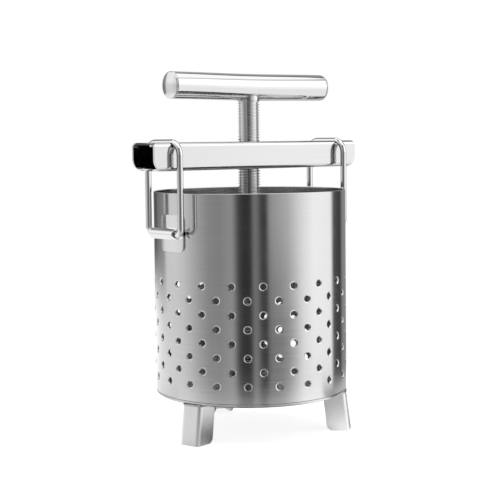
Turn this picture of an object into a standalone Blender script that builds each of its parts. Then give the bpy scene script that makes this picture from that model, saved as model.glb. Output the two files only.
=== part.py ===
"""Cheese press: a perforated steel barrel on three legs, a crossbar held down by two wire bails,
and a T-handled screw that drives a pressing plate.

Units are metres, +Z is up and +X runs along the crossbar. The origin is on the barrel's axis,
on the surface that the press stands on.
"""

from math import atan2, cos, pi, radians, sin

import bmesh
import bpy
from mathutils import Matrix, Vector

# Clearances
GAP = 0.0003                      # between pieces that are welded or rest on each other
RUNNING_GAP = 0.00035             # round a piece that turns
CUT_MARGIN = 0.003                # how far a cutter runs past what it cuts
FAR_MARGIN = 0.020                # the same, where nothing is in the way

# Barrel
BARREL_RADIUS = 0.070
SHEET = 0.0010
LEG_HEIGHT = 0.0284               # ground to the barrel's underside
BARREL_HEIGHT = 0.1475
RIM_Z = LEG_HEIGHT + BARREL_HEIGHT
BARREL_FACETS = 80
FACET_ANGLE = 2 * pi / BARREL_FACETS

# Drain holes in the barrel wall
HOLE_RADIUS = 0.0023
HOLE_SIDES = 8
HOLE_ROWS = 8
HOLES_PER_ROW = 20
HOLE_ROW_PITCH = 0.00992
LOWEST_ROW_Z = LEG_HEIGHT + 0.0145
HOLE_START = radians(4.2)         # first hole of every second row, from +X
HOLE_STAGGER = pi / HOLES_PER_ROW

# Barrel floor
FLOOR_THICKNESS = 0.0015
FLOOR_LIP = 0.0023
FLOOR_EDGE = 0.0021               # rounding of the lower edge
FLOOR_CORNER = 0.001
FLOOR_TOP_Z = LEG_HEIGHT + FLOOR_THICKNESS
FLOOR_HOLE_RINGS = ((6, 0.019), (12, 0.035), (18, 0.051))    # count, ring radius

# Legs: channels with the web outside
LEG_ANGLES = {"leg_left": radians(-166.2), "leg_right": radians(-46.2), "leg_back": radians(73.8)}
LEG_WIDTH = 0.0162
LEG_DEPTH = 0.0164
LEG_SHEET = 0.0016
LEG_TOP_RADIUS = 0.0696
LEG_FOOT_RADIUS = 0.0731
LEG_CORNER = 0.0039

# Crossbar: a rectangular tube
BAR_LENGTH = 0.1864
BAR_WIDTH = 0.0271
BAR_HEIGHT = 0.0196
BAR_WALL = 0.0016
BAR_EDGE = 0.0026
BAR_BOTTOM_Z = LEG_HEIGHT + 0.1631
BAR_TOP_Z = BAR_BOTTOM_Z + BAR_HEIGHT
BAR_MID_Z = BAR_BOTTOM_Z + BAR_HEIGHT / 2
BAR_END_LOW_CORNER = 0.0079
BAR_END_TOP_CORNER = 0.0026

# Bails: wire loops hinged in straps on the barrel
HINGE_X = 0.0761
HINGE_Z = LEG_HEIGHT + 0.1195
WIRE_RADIUS = 0.0022
BAIL_HALF_WIDTH = 0.0191
BAIL_TOP_BEND = 0.0092
BAIL_FOOT_BEND = 0.0044
WIRE_END_Y = 0.003
NOTCH_HALF_WIDTH = 0.0032

# Bail straps
STRAP_WIDTH = 0.0263
STRAP_HALF_HEIGHT = 0.0129
STRAP_SHEET = 0.0014
STRAP_CORNER = 0.0039
KNUCKLE_RADIUS = 0.0039
KNUCKLE_BLEND_OUT = 0.0010        # where the leaf turns into the knuckle
KNUCKLE_BLEND_NEAR = 0.0042
KNUCKLE_BLEND_FAR = 0.0054

# Screw, M16 with a 2 mm pitch, drawn at its outer diameter less the thread's play
SCREW_RADIUS = 0.0079
SCREW_STEPS = 32
BUSH_RADIUS = 0.0112
FOOT_RADIUS = 0.0102
NECK_RADIUS = 0.0058
SCREW_CHAMFER = 0.0011

# Handle
HANDLE_Z = LEG_HEIGHT + 0.2224
HANDLE_RADIUS = 0.0096
HANDLE_WALL = 0.0013
HANDLE_HALF_LENGTH = 0.0667
HANDLE_ANGLE = radians(-2.5)      # where the handle stands against the crossbar
CAP_DOME = 0.0026
CAP_RIM = 0.0010                  # straight part of a cap
SCREW_TOP_Z = HANDLE_Z + 0.0013

# Pressing plate and the socket that holds the screw's foot
PLATE_RADIUS = 0.0670
PLATE_THICKNESS = 0.0022
PLATE_EDGE = 0.0007
BOSS_RADIUS = 0.0150
BOSS_BORE = 0.0108
BOSS_HEIGHT = 0.0070
WASHER_THICKNESS = 0.0018
RETAINER_THICKNESS = 0.0022
RETAINER_SCREWS = 3
RETAINER_SCREW_RING = 0.0129
RETAINER_SCREW_RADIUS = 0.0013
RETAINER_HEAD_RADIUS = 0.0020
RETAINER_HEAD_HEIGHT = 0.0016
RETAINER_HEAD_TOP_RADIUS = 0.8 * RETAINER_HEAD_RADIUS
RETAINER_HEAD_SIDE = 0.6 * RETAINER_HEAD_HEIGHT
THREAD_CLEARANCE = 0.0022         # from the retaining plate up to the thread

PLATE_BOTTOM_Z = FLOOR_TOP_Z + GAP
PLATE_TOP_Z = PLATE_BOTTOM_Z + PLATE_THICKNESS
BOSS_BOTTOM_Z = PLATE_TOP_Z + GAP
BOSS_TOP_Z = BOSS_BOTTOM_Z + BOSS_HEIGHT
RETAINER_BOTTOM_Z = BOSS_TOP_Z + GAP
RETAINER_TOP_Z = RETAINER_BOTTOM_Z + RETAINER_THICKNESS
FOOT_BOTTOM_Z = BOSS_BOTTOM_Z + WASHER_THICKNESS + GAP
FOOT_TOP_Z = RETAINER_BOTTOM_Z - GAP
THREAD_BOTTOM_Z = RETAINER_TOP_Z + THREAD_CLEARANCE
RETAINER_HOLE_BOTTOM_Z = BOSS_BOTTOM_Z + 0.0018
RETAINER_SCREW_TIP_Z = BOSS_BOTTOM_Z + 0.0031

SIDES = {"left": -1, "right": 1}


def clear_scene():
    for item in list(bpy.data.objects):
        bpy.data.objects.remove(item, do_unlink=True)


def new_collection(name):
    group = bpy.data.collections.new(name)
    bpy.context.scene.collection.children.link(group)
    return group


def new_material(name, colour, roughness):
    material = bpy.data.materials.new(name)
    material.use_nodes = True
    shader = material.node_tree.nodes["Principled BSDF"]
    shader.inputs["Base Color"].default_value = (*colour, 1.0)
    shader.inputs["Roughness"].default_value = roughness
    shader.inputs["Metallic"].default_value = 1.0
    return material


def add_object(name, data, group, material=None):
    item = bpy.data.objects.new(name, data)
    group.objects.link(item)
    if material is not None:
        item.data.materials.append(material)
    return item


def mesh_object(name, bm, group, material=None):
    mesh = bpy.data.meshes.new(name)
    bm.to_mesh(mesh)
    bm.free()
    item = add_object(name, mesh, group, material)
    mesh.shade_smooth()
    mesh.set_sharp_from_angle(angle=radians(35))
    return item


def as_mesh(item):
    """Replaces a curve object, or one with modifiers, by the mesh it evaluates to."""
    group = item.users_collection[0]
    name = item.name
    bpy.context.view_layer.update()
    evaluated = item.evaluated_get(bpy.context.evaluated_depsgraph_get())
    mesh = bpy.data.meshes.new_from_object(evaluated)
    place = item.matrix_world.copy()
    bpy.data.objects.remove(item, do_unlink=True)
    bm = bmesh.new()
    bm.from_mesh(mesh)
    bmesh.ops.remove_doubles(bm, verts=bm.verts, dist=1e-6)
    bm.to_mesh(mesh)
    bm.free()
    mesh.shade_smooth()
    mesh.set_sharp_from_angle(angle=radians(35))
    result = bpy.data.objects.new(name, mesh)
    group.objects.link(result)
    result.matrix_world = place
    return result


def arc(centre_a, centre_b, radius, start, end, steps):
    """Points on an arc from start to end, both in degrees."""
    angles = [radians(start + (end - start) * i / steps) for i in range(steps + 1)]
    return [(centre_a + radius * cos(a), centre_b + radius * sin(a)) for a in angles]


def rounded_rectangle(half_a, half_b, low_corner, top_corner, steps=4):
    """An outline centred on the origin, anticlockwise from its lower right corner."""
    low_a, low_b = half_a - low_corner, -half_b + low_corner
    top_a, top_b = half_a - top_corner, half_b - top_corner
    return (
        arc(low_a, low_b, low_corner, -90, 0, steps)
        + arc(top_a, top_b, top_corner, 0, 90, steps)
        + arc(-top_a, top_b, top_corner, 90, 180, steps)
        + arc(-low_a, low_b, low_corner, 180, 270, steps)
    )


def extruded(name, outlines, thickness, place, group, material=None):
    """A flat outline, with holes where there is more than one, as thick as given along its local Z."""
    curve = bpy.data.curves.new(name, "CURVE")
    curve.dimensions = "2D"
    curve.fill_mode = "BOTH"
    curve.extrude = thickness / 2
    for outline in outlines:
        spline = curve.splines.new("POLY")
        spline.points.add(len(outline) - 1)
        for point, (a, b) in zip(spline.points, outline):
            point.co = (a, b, 0, 1)
        spline.use_cyclic_u = True
    item = add_object(name, curve, group, material)
    item.matrix_world = place
    return as_mesh(item)


def turned(name, profile, steps, group, material=None, closed=False):
    """A profile of (radius, z) points, running down its outer side, turned about local Z."""
    bm = bmesh.new()
    verts = [bm.verts.new((radius, 0, z)) for radius, z in profile]
    for first, second in zip(verts, verts[1:]):
        bm.edges.new((first, second))
    if closed:
        bm.edges.new((verts[-1], verts[0]))
    item = mesh_object(name, bm, group, material)
    screw = item.modifiers.new("Turn", "SCREW")
    screw.steps = steps
    screw.render_steps = steps
    screw.use_merge_vertices = True
    screw.merge_threshold = 1e-6
    screw.use_smooth_shade = True
    return as_mesh(item)


def wire(name, points, radius, group, material=None):
    curve = bpy.data.curves.new(name, "CURVE")
    curve.dimensions = "3D"
    curve.bevel_depth = radius
    curve.bevel_resolution = 3
    curve.use_fill_caps = True
    spline = curve.splines.new("POLY")
    spline.points.add(len(points) - 1)
    for point, place in zip(spline.points, points):
        point.co = (*place, 1)
    return as_mesh(add_object(name, curve, group, material))


def rod(bm, radius, low, high, place=Matrix.Identity(4), segments=24):
    """Adds a closed cylinder along local Z to a bmesh."""
    centre = place @ Matrix.Translation((0, 0, (low + high) / 2))
    bmesh.ops.create_cone(
        bm, cap_ends=True, segments=segments, radius1=radius, radius2=radius, depth=high - low, matrix=centre
    )


def cutter_object(name, bm):
    return hide_cutter(mesh_object(name, bm, cutters))


def hide_cutter(item):
    item.hide_render = True
    item.display_type = "WIRE"
    return item


def boolean(item, tool, operation="DIFFERENCE"):
    modifier = item.modifiers.new(f"{operation.title()} {tool.name}", "BOOLEAN")
    modifier.operation = operation
    modifier.solver = "EXACT"
    modifier.object = tool


def turn_z(angle):
    return Matrix.Rotation(angle, 4, "Z")


def axes_matrix(x_axis, y_axis, origin=(0, 0, 0)):
    """The frame whose local X and Y lie along the given directions."""
    x_axis, y_axis = Vector(x_axis), Vector(y_axis)
    frame = Matrix((x_axis, y_axis, x_axis.cross(y_axis))).transposed().to_4x4()
    frame.translation = origin
    return frame


# The barrel

def make_barrel_shell():
    inner = BARREL_RADIUS - SHEET
    low = LEG_HEIGHT + FLOOR_LIP + GAP
    profile = [(BARREL_RADIUS, RIM_Z), (BARREL_RADIUS, low), (inner, low), (inner, RIM_Z)]
    shell = turned("barrel_shell", profile, BARREL_FACETS, parts, steel_brushed, closed=True)
    holes = bmesh.new()
    for row in range(HOLE_ROWS):
        z = LOWEST_ROW_Z + row * HOLE_ROW_PITCH
        stagger = HOLE_STAGGER if row % 2 == 0 else 0
        for column in range(HOLES_PER_ROW):
            angle = FACET_ANGLE / 2 + stagger + column * 2 * HOLE_STAGGER
            place = turn_z(angle) @ Matrix.Translation((0, 0, z)) @ Matrix.Rotation(pi / 2, 4, "Y")
            rod(holes, HOLE_RADIUS, inner - CUT_MARGIN, BARREL_RADIUS + CUT_MARGIN, place, HOLE_SIDES)
    tool = cutter_object("barrel_holes", holes)
    # Each hole sits in the middle of one facet of the wall.
    for item in (shell, tool):
        item.rotation_euler.z = HOLE_START - FACET_ANGLE / 2
    boolean(shell, tool)


def make_barrel_floor():
    edge = FLOOR_EDGE
    inner = BARREL_RADIUS - SHEET
    profile = [(0, FLOOR_TOP_Z), (inner - FLOOR_CORNER, FLOOR_TOP_Z), (inner, LEG_HEIGHT + FLOOR_LIP)]
    profile += [(BARREL_RADIUS, LEG_HEIGHT + FLOOR_LIP)]
    profile += arc(BARREL_RADIUS - edge, LEG_HEIGHT + edge, edge, 0, -90, 4)
    profile += [(0, LEG_HEIGHT)]
    floor = turned("barrel_floor", profile, 60, parts, steel_brushed)
    holes = bmesh.new()
    for count, ring in FLOOR_HOLE_RINGS:
        for i in range(count):
            place = turn_z(2 * pi * i / count) @ Matrix.Translation((ring, 0, 0))
            rod(holes, HOLE_RADIUS, LEG_HEIGHT - CUT_MARGIN, FLOOR_TOP_Z + CUT_MARGIN, place, HOLE_SIDES)
    boolean(floor, cutter_object("floor_holes", holes))


def leg_outline(outer_shift, inner_reach, low, high):
    """Side view of a leg, radius against height: a sloping outer edge and a rounded inner foot."""
    slope = (LEG_TOP_RADIUS - LEG_FOOT_RADIUS) / (LEG_HEIGHT - GAP)
    foot = LEG_FOOT_RADIUS - outer_shift
    inner = foot - inner_reach
    outline = [(foot + slope * low, low), (foot + slope * high, high), (inner + slope * high, high)]
    return outline + arc(inner + LEG_CORNER, low + LEG_CORNER, LEG_CORNER, 180, 270, 4)


def make_leg(name, angle):
    top = LEG_HEIGHT - GAP
    side_view = turn_z(angle) @ axes_matrix((1, 0, 0), (0, 0, 1))
    leg = extruded(name, [leg_outline(0, LEG_DEPTH, 0, top)], LEG_WIDTH, side_view, parts, steel_leg)
    hollow = leg_outline(LEG_SHEET, LEG_DEPTH + FAR_MARGIN, -FAR_MARGIN, top + FAR_MARGIN)
    width = LEG_WIDTH - 2 * LEG_SHEET
    tool = hide_cutter(extruded(f"{name}_hollow", [hollow], width, side_view, cutters))
    boolean(leg, tool)


# The bails and their straps

def bail_path():
    """The wire's centre line as (y, z), from one end in the knuckle round to the other."""
    half, foot, top = BAIL_HALF_WIDTH, BAIL_FOOT_BEND, BAIL_TOP_BEND
    right = [(WIRE_END_Y, HINGE_Z)]
    right += arc(half - foot, HINGE_Z + foot, foot, -90, 0, 5)
    right += arc(half - top, BAR_TOP_Z - top, top, 0, 90, 7)
    return right + [(-y, z) for y, z in reversed(right)]


def make_bail(side):
    x = SIDES[side] * HINGE_X
    wire(f"bail_{side}", [(x, y, z) for y, z in bail_path()], WIRE_RADIUS, parts, steel_polished)


def make_strap(side):
    outer = BARREL_RADIUS + GAP + STRAP_SHEET
    back = BARREL_RADIUS - CUT_MARGIN
    blend = outer + KNUCKLE_BLEND_OUT
    half = STRAP_HALF_HEIGHT
    outline = [(back, -half), (outer, -half), (outer, -KNUCKLE_BLEND_FAR), (blend, -KNUCKLE_BLEND_NEAR)]
    outline += arc(HINGE_X, 0, KNUCKLE_RADIUS, -110, 110, 12)
    outline += [(blend, KNUCKLE_BLEND_NEAR), (outer, KNUCKLE_BLEND_FAR), (outer, half), (back, half)]
    turn = turn_z(0 if side == "right" else pi)
    name = f"bail_strap_{side}"
    side_view = turn @ axes_matrix((1, 0, 0), (0, 0, 1), (0, 0, HINGE_Z))
    strap = extruded(name, [outline], STRAP_WIDTH, side_view, parts, steel_polished)

    front = rounded_rectangle(STRAP_WIDTH / 2, half, STRAP_CORNER, STRAP_CORNER)
    front_view = turn @ axes_matrix((0, 1, 0), (0, 0, 1), (HINGE_X, 0, HINGE_Z))
    corners = extruded(f"{name}_corners", [front], STRAP_WIDTH, front_view, cutters)
    boolean(strap, hide_cutter(corners), "INTERSECT")

    bore = bmesh.new()
    across = Matrix.Translation((SIDES[side] * HINGE_X, 0, HINGE_Z)) @ Matrix.Rotation(pi / 2, 4, "X")
    rod(bore, WIRE_RADIUS + GAP, -STRAP_WIDTH, STRAP_WIDTH, across, 16)
    boolean(strap, cutter_object(f"{name}_bore", bore))

    wall = bmesh.new()
    rod(wall, BARREL_RADIUS + GAP, HINGE_Z - STRAP_WIDTH, HINGE_Z + STRAP_WIDTH, segments=120)
    boolean(strap, cutter_object(f"{name}_wall", wall))


# The crossbar

def make_crossbar():
    half_width, half_height = BAR_WIDTH / 2, BAR_HEIGHT / 2
    outer = rounded_rectangle(half_width, half_height, BAR_EDGE, BAR_EDGE)
    inner_edge = BAR_EDGE - BAR_WALL
    inner = rounded_rectangle(half_width - BAR_WALL, half_height - BAR_WALL, inner_edge, inner_edge, 2)
    section = axes_matrix((0, 1, 0), (0, 0, 1), (0, 0, BAR_MID_Z))
    bar = extruded("crossbar", [outer, inner], BAR_LENGTH, section, parts, steel_polished)

    clear = half_height + 1e-4
    side = rounded_rectangle(BAR_LENGTH / 2, clear, BAR_END_LOW_CORNER, BAR_END_TOP_CORNER, 5)
    side_view = axes_matrix((1, 0, 0), (0, 0, 1), (0, 0, BAR_MID_Z))
    ends = extruded("crossbar_ends", [side], BAR_WIDTH * 2, side_view, cutters)
    boolean(bar, hide_cutter(ends), "INTERSECT")

    bore = bmesh.new()
    low, high = BAR_BOTTOM_Z - CUT_MARGIN, BAR_TOP_Z + CUT_MARGIN
    rod(bore, SCREW_RADIUS + 2 * RUNNING_GAP, low, high, segments=SCREW_STEPS)
    boolean(bar, cutter_object("crossbar_bore", bore))

    for name, sign in SIDES.items():
        boolean(bar, make_notch(name, sign * HINGE_X))


def make_notch(name, x):
    """The bail's seat: the outside of the bail's bends, cut across the top of the crossbar."""
    top_bend = BAIL_TOP_BEND - WIRE_RADIUS - GAP
    half = BAIL_HALF_WIDTH - WIRE_RADIUS - GAP
    seat_z = BAR_TOP_Z - WIRE_RADIUS - GAP
    under = arc(half - top_bend, seat_z - top_bend, top_bend, 0, 90, 6)
    outline = under + [(-y, z) for y, z in reversed(under)]
    side, above = half + CUT_MARGIN, BAR_TOP_Z + CUT_MARGIN
    outline += [(-side, under[0][1]), (-side, above), (side, above), (side, under[0][1])]
    across = axes_matrix((0, 1, 0), (0, 0, 1), (x, 0, 0))
    return hide_cutter(extruded(f"notch_{name}", [outline], 2 * NOTCH_HALF_WIDTH, across, cutters))


def make_bush():
    low, high = BAR_BOTTOM_Z + BAR_WALL + GAP, BAR_TOP_Z - BAR_WALL - GAP
    bore = SCREW_RADIUS + RUNNING_GAP
    profile = [(BUSH_RADIUS, high), (BUSH_RADIUS, low), (bore, low), (bore, high)]
    turned("threaded_bush", profile, SCREW_STEPS, parts, steel_dull, closed=True)


# The screw and its handle

def make_screw():
    profile = [(0, SCREW_TOP_Z), (SCREW_RADIUS, SCREW_TOP_Z)]
    profile += [(SCREW_RADIUS, THREAD_BOTTOM_Z + SCREW_CHAMFER)]
    profile += [(SCREW_RADIUS - SCREW_CHAMFER, THREAD_BOTTOM_Z), (NECK_RADIUS, THREAD_BOTTOM_Z)]
    profile += [(NECK_RADIUS, FOOT_TOP_Z), (FOOT_RADIUS, FOOT_TOP_Z), (FOOT_RADIUS, FOOT_BOTTOM_Z)]
    profile += [(0, FOOT_BOTTOM_Z)]
    turned("press_screw", profile, SCREW_STEPS, parts, steel_dull)


def make_handle():
    outer = HANDLE_RADIUS
    inner = outer - HANDLE_WALL
    half = HANDLE_HALF_LENGTH
    along = turn_z(HANDLE_ANGLE) @ Matrix.Translation((0, 0, HANDLE_Z)) @ Matrix.Rotation(pi / 2, 4, "Y")
    profile = [(outer, half), (outer, -half), (inner, -half), (inner, half)]
    tube = turned("handle_tube", profile, 40, parts, steel_polished, closed=True)
    tube.matrix_world = along
    hole = bmesh.new()
    rod(hole, SCREW_RADIUS + GAP, HANDLE_Z - FAR_MARGIN, HANDLE_Z, segments=SCREW_STEPS)
    boolean(tube, cutter_object("handle_hole", hole))

    cap_profile = [(0, CAP_DOME)] + cap_dome(outer, CAP_RIM) + [(outer, 0), (0, 0)]
    for name, end in {"handle_cap_near": pi, "handle_cap_far": 0}.items():
        cap = turned(name, cap_profile, 40, parts, steel_polished)
        outward = turn_z(HANDLE_ANGLE + end) @ Matrix.Translation((half + GAP, 0, HANDLE_Z))
        cap.matrix_world = outward @ Matrix.Rotation(pi / 2, 4, "Y")


def cap_dome(outer, rim):
    """A shallow dome from near the centre to the top of the cap's straight rim."""
    rise = CAP_DOME - rim
    sphere = (outer ** 2 + rise ** 2) / (2 * rise)
    steepest = atan2(outer, sphere - rise)
    angles = [steepest * i / 6 for i in range(1, 7)]
    return [(sphere * sin(a), rim + rise - sphere * (1 - cos(a))) for a in angles]


# The pressing plate and the socket for the screw's foot

def make_press_plate():
    flat = PLATE_RADIUS - PLATE_EDGE
    profile = [(0, PLATE_TOP_Z), (flat, PLATE_TOP_Z), (PLATE_RADIUS, PLATE_TOP_Z - PLATE_EDGE)]
    profile += [(PLATE_RADIUS, PLATE_BOTTOM_Z + PLATE_EDGE), (flat, PLATE_BOTTOM_Z), (0, PLATE_BOTTOM_Z)]
    turned("press_plate", profile, 60, parts, steel_brushed)


def retainer_holes(name, low, high):
    bm = bmesh.new()
    for i in range(RETAINER_SCREWS):
        place = turn_z(2 * pi * i / RETAINER_SCREWS) @ Matrix.Translation((RETAINER_SCREW_RING, 0, 0))
        rod(bm, RETAINER_SCREW_RADIUS + GAP, low, high, place, 12)
    return cutter_object(name, bm)


def make_foot_socket():
    profile = [(BOSS_RADIUS, BOSS_TOP_Z), (BOSS_RADIUS, BOSS_BOTTOM_Z)]
    profile += [(BOSS_BORE, BOSS_BOTTOM_Z), (BOSS_BORE, BOSS_TOP_Z)]
    boss = turned("plate_boss", profile, 36, parts, steel_dull, closed=True)
    boolean(boss, retainer_holes("boss_holes", RETAINER_HOLE_BOTTOM_Z, BOSS_TOP_Z + CUT_MARGIN))

    washer = bmesh.new()
    rod(washer, BOSS_BORE - 2 * GAP, BOSS_BOTTOM_Z, BOSS_BOTTOM_Z + WASHER_THICKNESS, segments=36)
    mesh_object("thrust_washer", washer, parts, steel_polished)

    plate = bmesh.new()
    rod(plate, BOSS_RADIUS, RETAINER_BOTTOM_Z, RETAINER_TOP_Z, segments=36)
    retainer = mesh_object("retaining_plate", plate, parts, steel_dull)
    slot = NECK_RADIUS + RUNNING_GAP
    # The slot opens between two of the screws, so the plate slides on round the neck.
    mouth = [(-FAR_MARGIN, -slot)] + arc(0, 0, slot, -90, 90, 12) + [(-FAR_MARGIN, slot)]
    middle = Matrix.Translation((0, 0, (RETAINER_BOTTOM_Z + RETAINER_TOP_Z) / 2))
    boolean(retainer, hide_cutter(extruded("retainer_slot", [mouth], FAR_MARGIN, middle, cutters)))
    low, high = RETAINER_BOTTOM_Z - CUT_MARGIN, RETAINER_TOP_Z + CUT_MARGIN
    boolean(retainer, retainer_holes("retainer_holes", low, high))

    head_z = RETAINER_TOP_Z + GAP
    head_top = head_z + RETAINER_HEAD_HEIGHT
    profile = [(0, head_top), (RETAINER_HEAD_TOP_RADIUS, head_top)]
    profile += [(RETAINER_HEAD_RADIUS, head_z + RETAINER_HEAD_SIDE), (RETAINER_HEAD_RADIUS, head_z)]
    profile += [(RETAINER_SCREW_RADIUS, head_z), (RETAINER_SCREW_RADIUS, RETAINER_SCREW_TIP_Z)]
    profile += [(0, RETAINER_SCREW_TIP_Z)]
    for i in range(RETAINER_SCREWS):
        screw = turned(f"retaining_screw_{i + 1}", profile, 16, parts, steel_polished)
        ring = Matrix.Translation((RETAINER_SCREW_RING, 0, 0))
        screw.matrix_world = turn_z(2 * pi * i / RETAINER_SCREWS) @ ring


clear_scene()
parts = new_collection("cheese_press")
cutters = new_collection("cutters")
steel_brushed = new_material("steel_brushed", (0.66, 0.66, 0.67), 0.28)
steel_polished = new_material("steel_polished", (0.78, 0.78, 0.79), 0.14)
steel_leg = new_material("steel_leg", (0.68, 0.68, 0.69), 0.34)
steel_dull = new_material("steel_dull", (0.60, 0.60, 0.61), 0.32)

make_barrel_shell()
make_barrel_floor()
for leg_name, leg_angle in LEG_ANGLES.items():
    make_leg(leg_name, leg_angle)
for side_name in SIDES:
    make_strap(side_name)
    make_bail(side_name)
make_crossbar()
make_bush()
make_screw()
make_handle()
make_press_plate()
make_foot_socket()
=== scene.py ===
"""Looks of the cheese press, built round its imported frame. Metres, in the frame of the CAD part."""

from math import asin, atan2, cos, pi, radians, sin, sqrt

import bmesh
import bpy
import numpy as np
from mathutils import Matrix, Vector


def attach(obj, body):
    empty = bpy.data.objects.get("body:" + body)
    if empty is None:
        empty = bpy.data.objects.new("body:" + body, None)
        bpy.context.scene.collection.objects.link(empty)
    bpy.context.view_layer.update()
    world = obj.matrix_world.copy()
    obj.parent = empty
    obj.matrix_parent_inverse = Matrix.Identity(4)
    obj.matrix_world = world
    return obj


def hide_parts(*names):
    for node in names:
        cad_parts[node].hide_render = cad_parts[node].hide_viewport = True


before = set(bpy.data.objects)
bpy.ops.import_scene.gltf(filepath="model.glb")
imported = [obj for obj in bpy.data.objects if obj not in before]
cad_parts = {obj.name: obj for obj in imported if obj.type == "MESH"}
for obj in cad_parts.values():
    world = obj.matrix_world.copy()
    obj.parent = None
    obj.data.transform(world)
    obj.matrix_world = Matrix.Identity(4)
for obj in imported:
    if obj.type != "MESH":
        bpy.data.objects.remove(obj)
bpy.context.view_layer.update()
scene = bpy.context.scene

# Camera
CAMERA_PLACE = (-0.5985, -0.7391, 0.2127)
CAMERA_HEADING = radians(39)      # from +Y towards +X
CAMERA_PITCH = 0.0849             # down
CAMERA_ROLL = -0.0110
CAMERA_LENS = 93.66
CAMERA_AZIMUTH = radians(231)     # direction from the press to the camera

# Barrel
RADIUS = 0.070
SHEET = 0.0010
BASE_Z = 0.0284
RIM_Z = 0.1759
WALL_BOTTOM_Z = BASE_Z + 0.0024
HOLE_RADIUS = 0.0023
HOLE_ROWS = 8
HOLES_PER_ROW = 20
ROW_PITCH = 0.00992
LOWEST_ROW_Z = BASE_Z + 0.0145
HOLE_START = radians(4.2)
CELL_STEPS = 10                   # round one hole's width of wall
CELL_RISE_STEPS = 6
LIP = (0.0008, 0.00038)           # width and depth of the pressed edge round a hole
LIP_CURVE = 1.3                   # 1 is a straight chamfer
INNER_LIP = (0.0002, 0.00015)
FLOOR_SHEET = 0.0015
BASE_EDGE = 0.0021
FLOOR_LIP_Z = BASE_Z + 0.0023
FLOOR_RINGS = ((6, 0.019, 36), (12, 0.035, 18), (18, 0.051, 12))
FLOOR_RING_HALF = 0.008

# Legs
LEG_ANGLES = {"left": radians(-166.2), "right": radians(-46.2), "back": radians(73.8)}
LEG_WIDTH = 0.0162
LEG_DEPTH = 0.0164
LEG_SHEET = 0.0016
LEG_TOP_RADIUS = 0.0696
LEG_FOOT_RADIUS = 0.0731
LEG_CORNER = 0.0039
LEG_BEND = 0.0026

# Crossbar
BAR_LENGTH = 0.1864
BAR_WIDTH = 0.0271
BAR_HEIGHT = 0.0196
BAR_WALL = 0.0016
BAR_EDGE = 0.0026
BAR_BOTTOM_Z = 0.1915
BAR_TOP_Z = BAR_BOTTOM_Z + BAR_HEIGHT
BAR_END_LOW_CORNER = 0.0079
BAR_END_TOP_CORNER = 0.0026

# Bails and straps
HINGE_X = 0.0761
HINGE_Z = 0.1479
WIRE_RADIUS = 0.0022
BAIL_HALF_WIDTH = 0.0191
BAIL_TOP_BEND = 0.0092
BAIL_FOOT_BEND = 0.0044
WIRE_END_Y = 0.003
NOTCH_HALF_WIDTH = 0.0032
NOTCH_PLAY = 0.0003
CUT_MARGIN = 0.003                # how far a cutting shape stands out of the bar
STRAP_HALF_WIDTH = 0.01315
STRAP_HALF_HEIGHT = 0.0129
STRAP_CORNER = 0.0039
STRAP_SHEET = 0.0013
KNUCKLE_RADIUS = 0.0039
KNUCKLE_FILLET = 0.0014

# Screw and handle
PITCH = 0.002
MAJOR_RADIUS = 0.0080
THREAD_DEPTH = 0.6134 * PITCH
THREAD_CREST = 0.0625             # half the crest's width and the flank's, as shares of the pitch
THREAD_FLANK = 0.3125
THREAD_RUNOUT = 0.0016
BAR_BORE = MAJOR_RADIUS + 0.0006
BUSH_BORE = MAJOR_RADIUS + 0.0003
BUSH_RADIUS = 0.0112
SHANK_RADIUS = 0.0078
THREAD_BOTTOM_Z = 0.0444
THREAD_TOP_Z = 0.2410
SCREW_TOP_Z = 0.2505
NECK_RADIUS = 0.0058
FOOT_RADIUS = 0.0102
FOOT_BOTTOM_Z = 0.0348
FOOT_TOP_Z = 0.0397
HANDLE_Z = 0.2508
HANDLE_RADIUS = 0.0096
HANDLE_WALL = 0.0013
HANDLE_HALF_LENGTH = 0.0667
HANDLE_ANGLE = radians(-2.5)
HANDLE_SAG = 0.0005
HANDLE_BEAD = 0.0007              # radius of the weld round the screw
CAP_DOME = 0.0026
CAP_RISE = 0.0014                 # of the dome's curve, from its middle to the tube's radius
CAP_RIM = 0.0009
CAP_EDGE = 0.0003
CAP_GAP = 0.00005                 # between the cap and the tube's end

SIDES = {"left": -1, "right": 1}


# Mesh tools

WELD_DISTANCE = 1e-6              # points in the same cell of this size become one


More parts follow.
